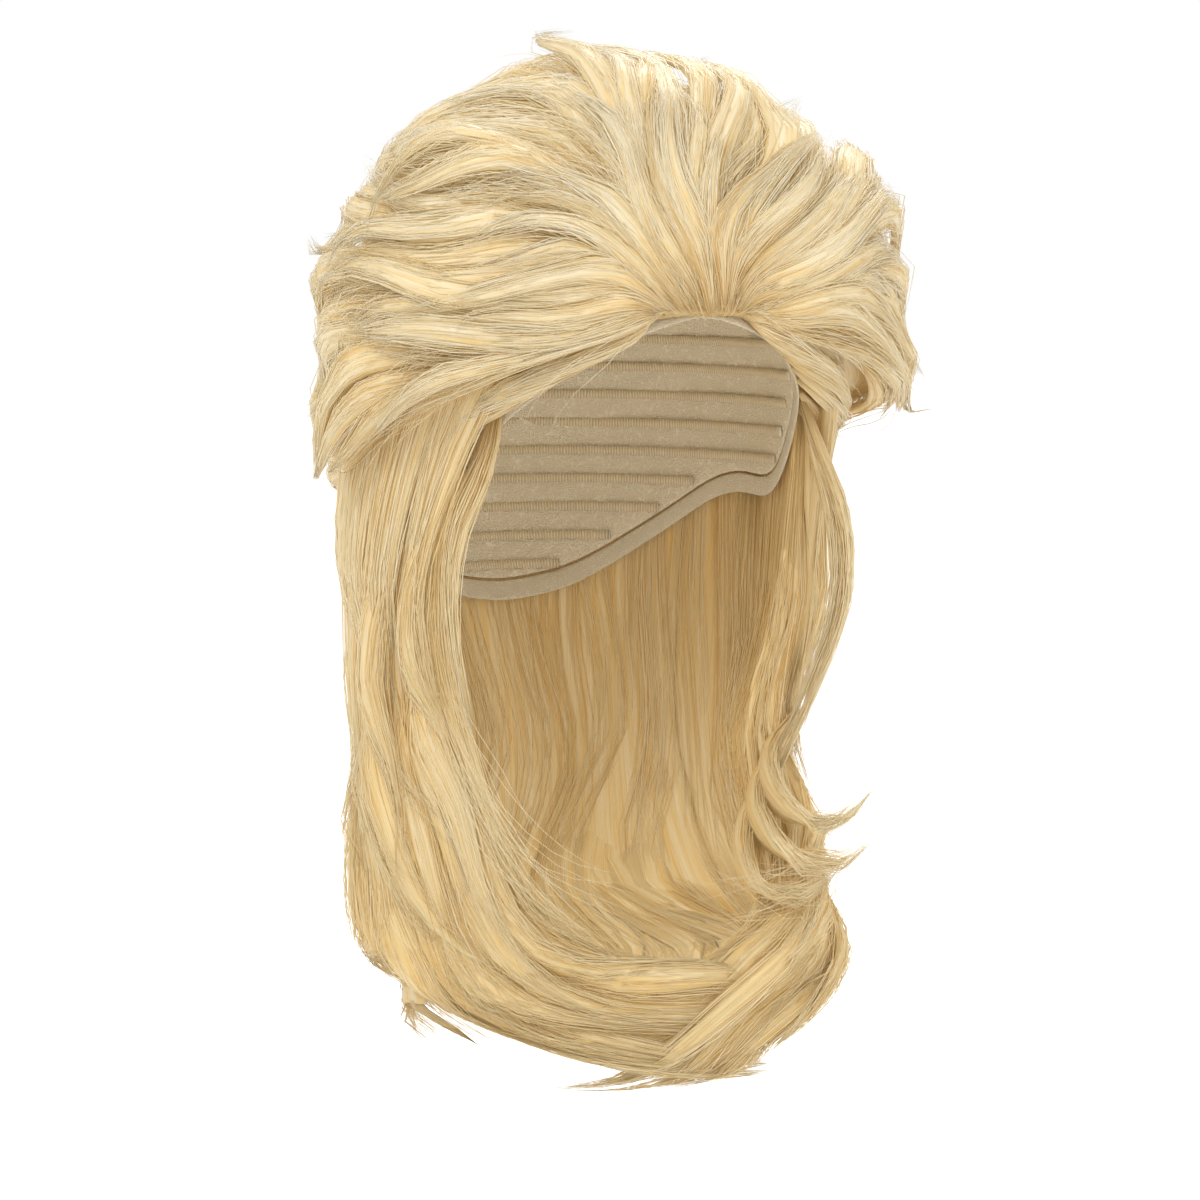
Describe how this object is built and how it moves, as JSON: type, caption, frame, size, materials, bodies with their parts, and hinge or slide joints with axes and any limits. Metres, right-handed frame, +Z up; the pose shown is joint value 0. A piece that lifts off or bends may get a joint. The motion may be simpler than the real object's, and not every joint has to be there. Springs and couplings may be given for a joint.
{
  "type": "mullet wig",
  "caption": "Blonde mullet wig: short teased hair over a stretch cap and long hair that falls round the neck.",
  "frame": {"origin": "top of the head hollow, on the inside of the cap at its crown", "axes": "+Z up, the wearer faces -Y, +X is the wearer's left"},
  "size_m": [0.2586, 0.2281, 0.4026],
  "materials": {
    "cap_net": "matte stretch net",
    "elastic": "matte elastic tape",
    "hair": "glossy synthetic fibre"
  },
  "bodies": {
    "root": {"wig_cap": "cap_net", "edge_band": "elastic", "hair_top": "hair", "hair_crown_right": "hair", "hair_crown_left": "hair", "hair_side_right": "hair", "hair_side_left": "hair", "hair_back_crown": "hair", "sideburn_right": "hair", "sideburn_left": "hair", "tail_back": "hair", "tail_right": "hair", "tail_left": "hair"}
  },
  "joints": []
}
